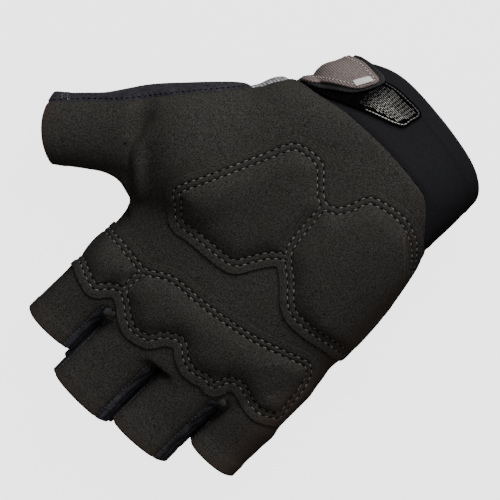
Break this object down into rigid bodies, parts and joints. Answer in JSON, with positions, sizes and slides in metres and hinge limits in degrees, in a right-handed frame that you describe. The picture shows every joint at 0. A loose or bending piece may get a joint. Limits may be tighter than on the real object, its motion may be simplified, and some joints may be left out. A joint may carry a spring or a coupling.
{
  "type": "cycling glove",
  "caption": "Right-hand fingerless cycling glove, filled out and lying palm up, with a suede palm, padded overlays, short finger stubs, a wrist cuff and a hook-and-loop strap.",
  "frame": {"origin": "on the flat of the back, under the middle of the palm", "axes": "+Z out of the palm, +Y towards the fingertips, +X towards the thumb"},
  "size_m": [0.1469, 0.168, 0.0445],
  "materials": {
    "suede": "napped synthetic suede, near black with a warm cast",
    "stretch_knit": "fine black stretch knit",
    "wipe_cloth": "brushed navy-black wipe cloth",
    "fourchette_knit": "fine dark stretch knit",
    "smooth_neoprene": "smooth matt neoprene jersey",
    "heather_knit": "grey heather knit",
    "catch_weave": "woven black catch patch with a sheen",
    "black_webbing": "black strap cloth",
    "taupe_rib": "taupe ribbed cloth",
    "reflective_film": "pale reflective film"
  },
  "bodies": {
    "root": {"palm_panel": "suede", "back_panel": "stretch_knit", "thumb_back": "wipe_cloth", "fourchette_index_middle": "fourchette_knit", "fourchette_middle_ring": "fourchette_knit", "fourchette_ring_little": "fourchette_knit", "cuff_band": "smooth_neoprene", "side_trim": "heather_knit", "heel_overlay": "suede", "knuckle_overlay": "suede", "loop_patch": "catch_weave", "closure_strap": "black_webbing", "strap_tab": "taupe_rib", "reflective_label": "reflective_film"}
  },
  "joints": []
}
